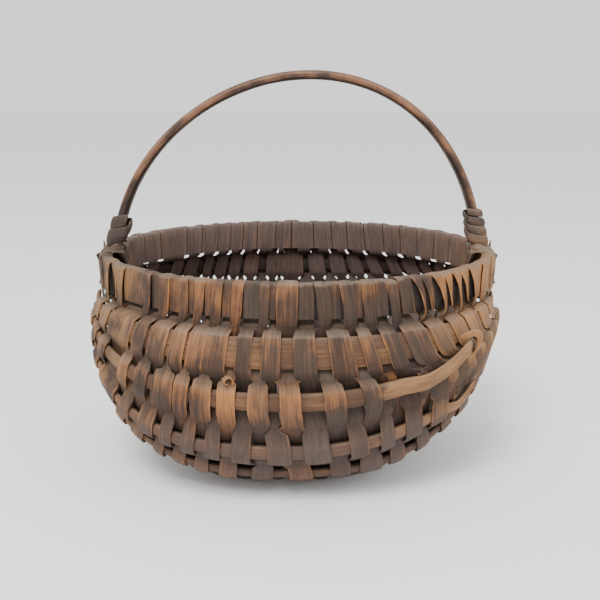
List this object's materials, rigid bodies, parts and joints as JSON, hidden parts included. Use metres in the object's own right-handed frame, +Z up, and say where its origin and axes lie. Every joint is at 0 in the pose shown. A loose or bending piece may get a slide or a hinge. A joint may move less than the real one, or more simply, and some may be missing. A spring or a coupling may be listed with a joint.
{
  "type": "buttocks basket",
  "caption": "Ribbed basket of split oak with two rounded lobes, an oval rim hoop and a fixed hoop handle.",
  "frame": {"origin": "middle of the footprint of the whole basket, on the floor it stands on", "axes": "+X from the left ear to the right ear along the handle, -Y the front lobe, +Z up"},
  "size_m": [0.276, 0.2544, 0.2676],
  "materials": {
    "oak_rim": "weathered, bare",
    "oak_handle": "worn smooth by hands",
    "oak_rib": "riven and shaved, bare",
    "oak_splint": "dark with age, dusty",
    "oak_lashing": "grey with age"
  },
  "bodies": {
    "root": {"back_rib_1": "oak_rib", "back_rib_2": "oak_rib", "back_rib_3": "oak_rib", "back_rib_4": "oak_rib", "back_rib_5": "oak_rib", "back_rib_6": "oak_rib", "ear_lashing_left": "oak_lashing", "ear_lashing_right": "oak_lashing", "front_rib_1": "oak_rib", "front_rib_2": "oak_rib", "front_rib_3": "oak_rib", "front_rib_4": "oak_rib", "front_rib_5": "oak_rib", "front_rib_6": "oak_rib", "handle_hoop": "oak_handle", "handle_wrap_left": "oak_lashing", "handle_wrap_right": "oak_lashing", "rim_hoop": "oak_rim", "weaver_01": "oak_splint", "weaver_02": "oak_splint", "weaver_03": "oak_splint", "weaver_04": "oak_splint", "weaver_05": "oak_splint", "weaver_06": "oak_splint", "weaver_07": "oak_splint", "weaver_08": "oak_splint", "weaver_09": "oak_splint", "weaver_10": "oak_splint", "weaver_11": "oak_splint", "weaver_12": "oak_splint", "weaver_13": "oak_splint", "weaver_14": "oak_splint", "weaver_15": "oak_splint", "weaver_16": "oak_splint", "weaver_17": "oak_splint", "weaver_18": "oak_splint", "weaver_19": "oak_splint", "weaver_20": "oak_splint", "weaver_21": "oak_splint", "weaver_22": "oak_splint", "weaver_23": "oak_splint", "weaver_24": "oak_splint", "weaver_25": "oak_splint", "weaver_26": "oak_splint", "weaver_27": "oak_splint", "weaver_28": "oak_splint", "weaver_29": "oak_splint", "weaver_30": "oak_splint", "weaver_31": "oak_splint", "weaver_32": "oak_splint", "weaver_33": "oak_splint", "weaver_34": "oak_splint", "weaver_35": "oak_splint", "weaver_36": "oak_splint", "weaver_37": "oak_splint", "weaver_38": "oak_splint", "weaver_39": "oak_splint", "weaver_40": "oak_splint", "weaver_41": "oak_splint"}
  },
  "joints": []
}
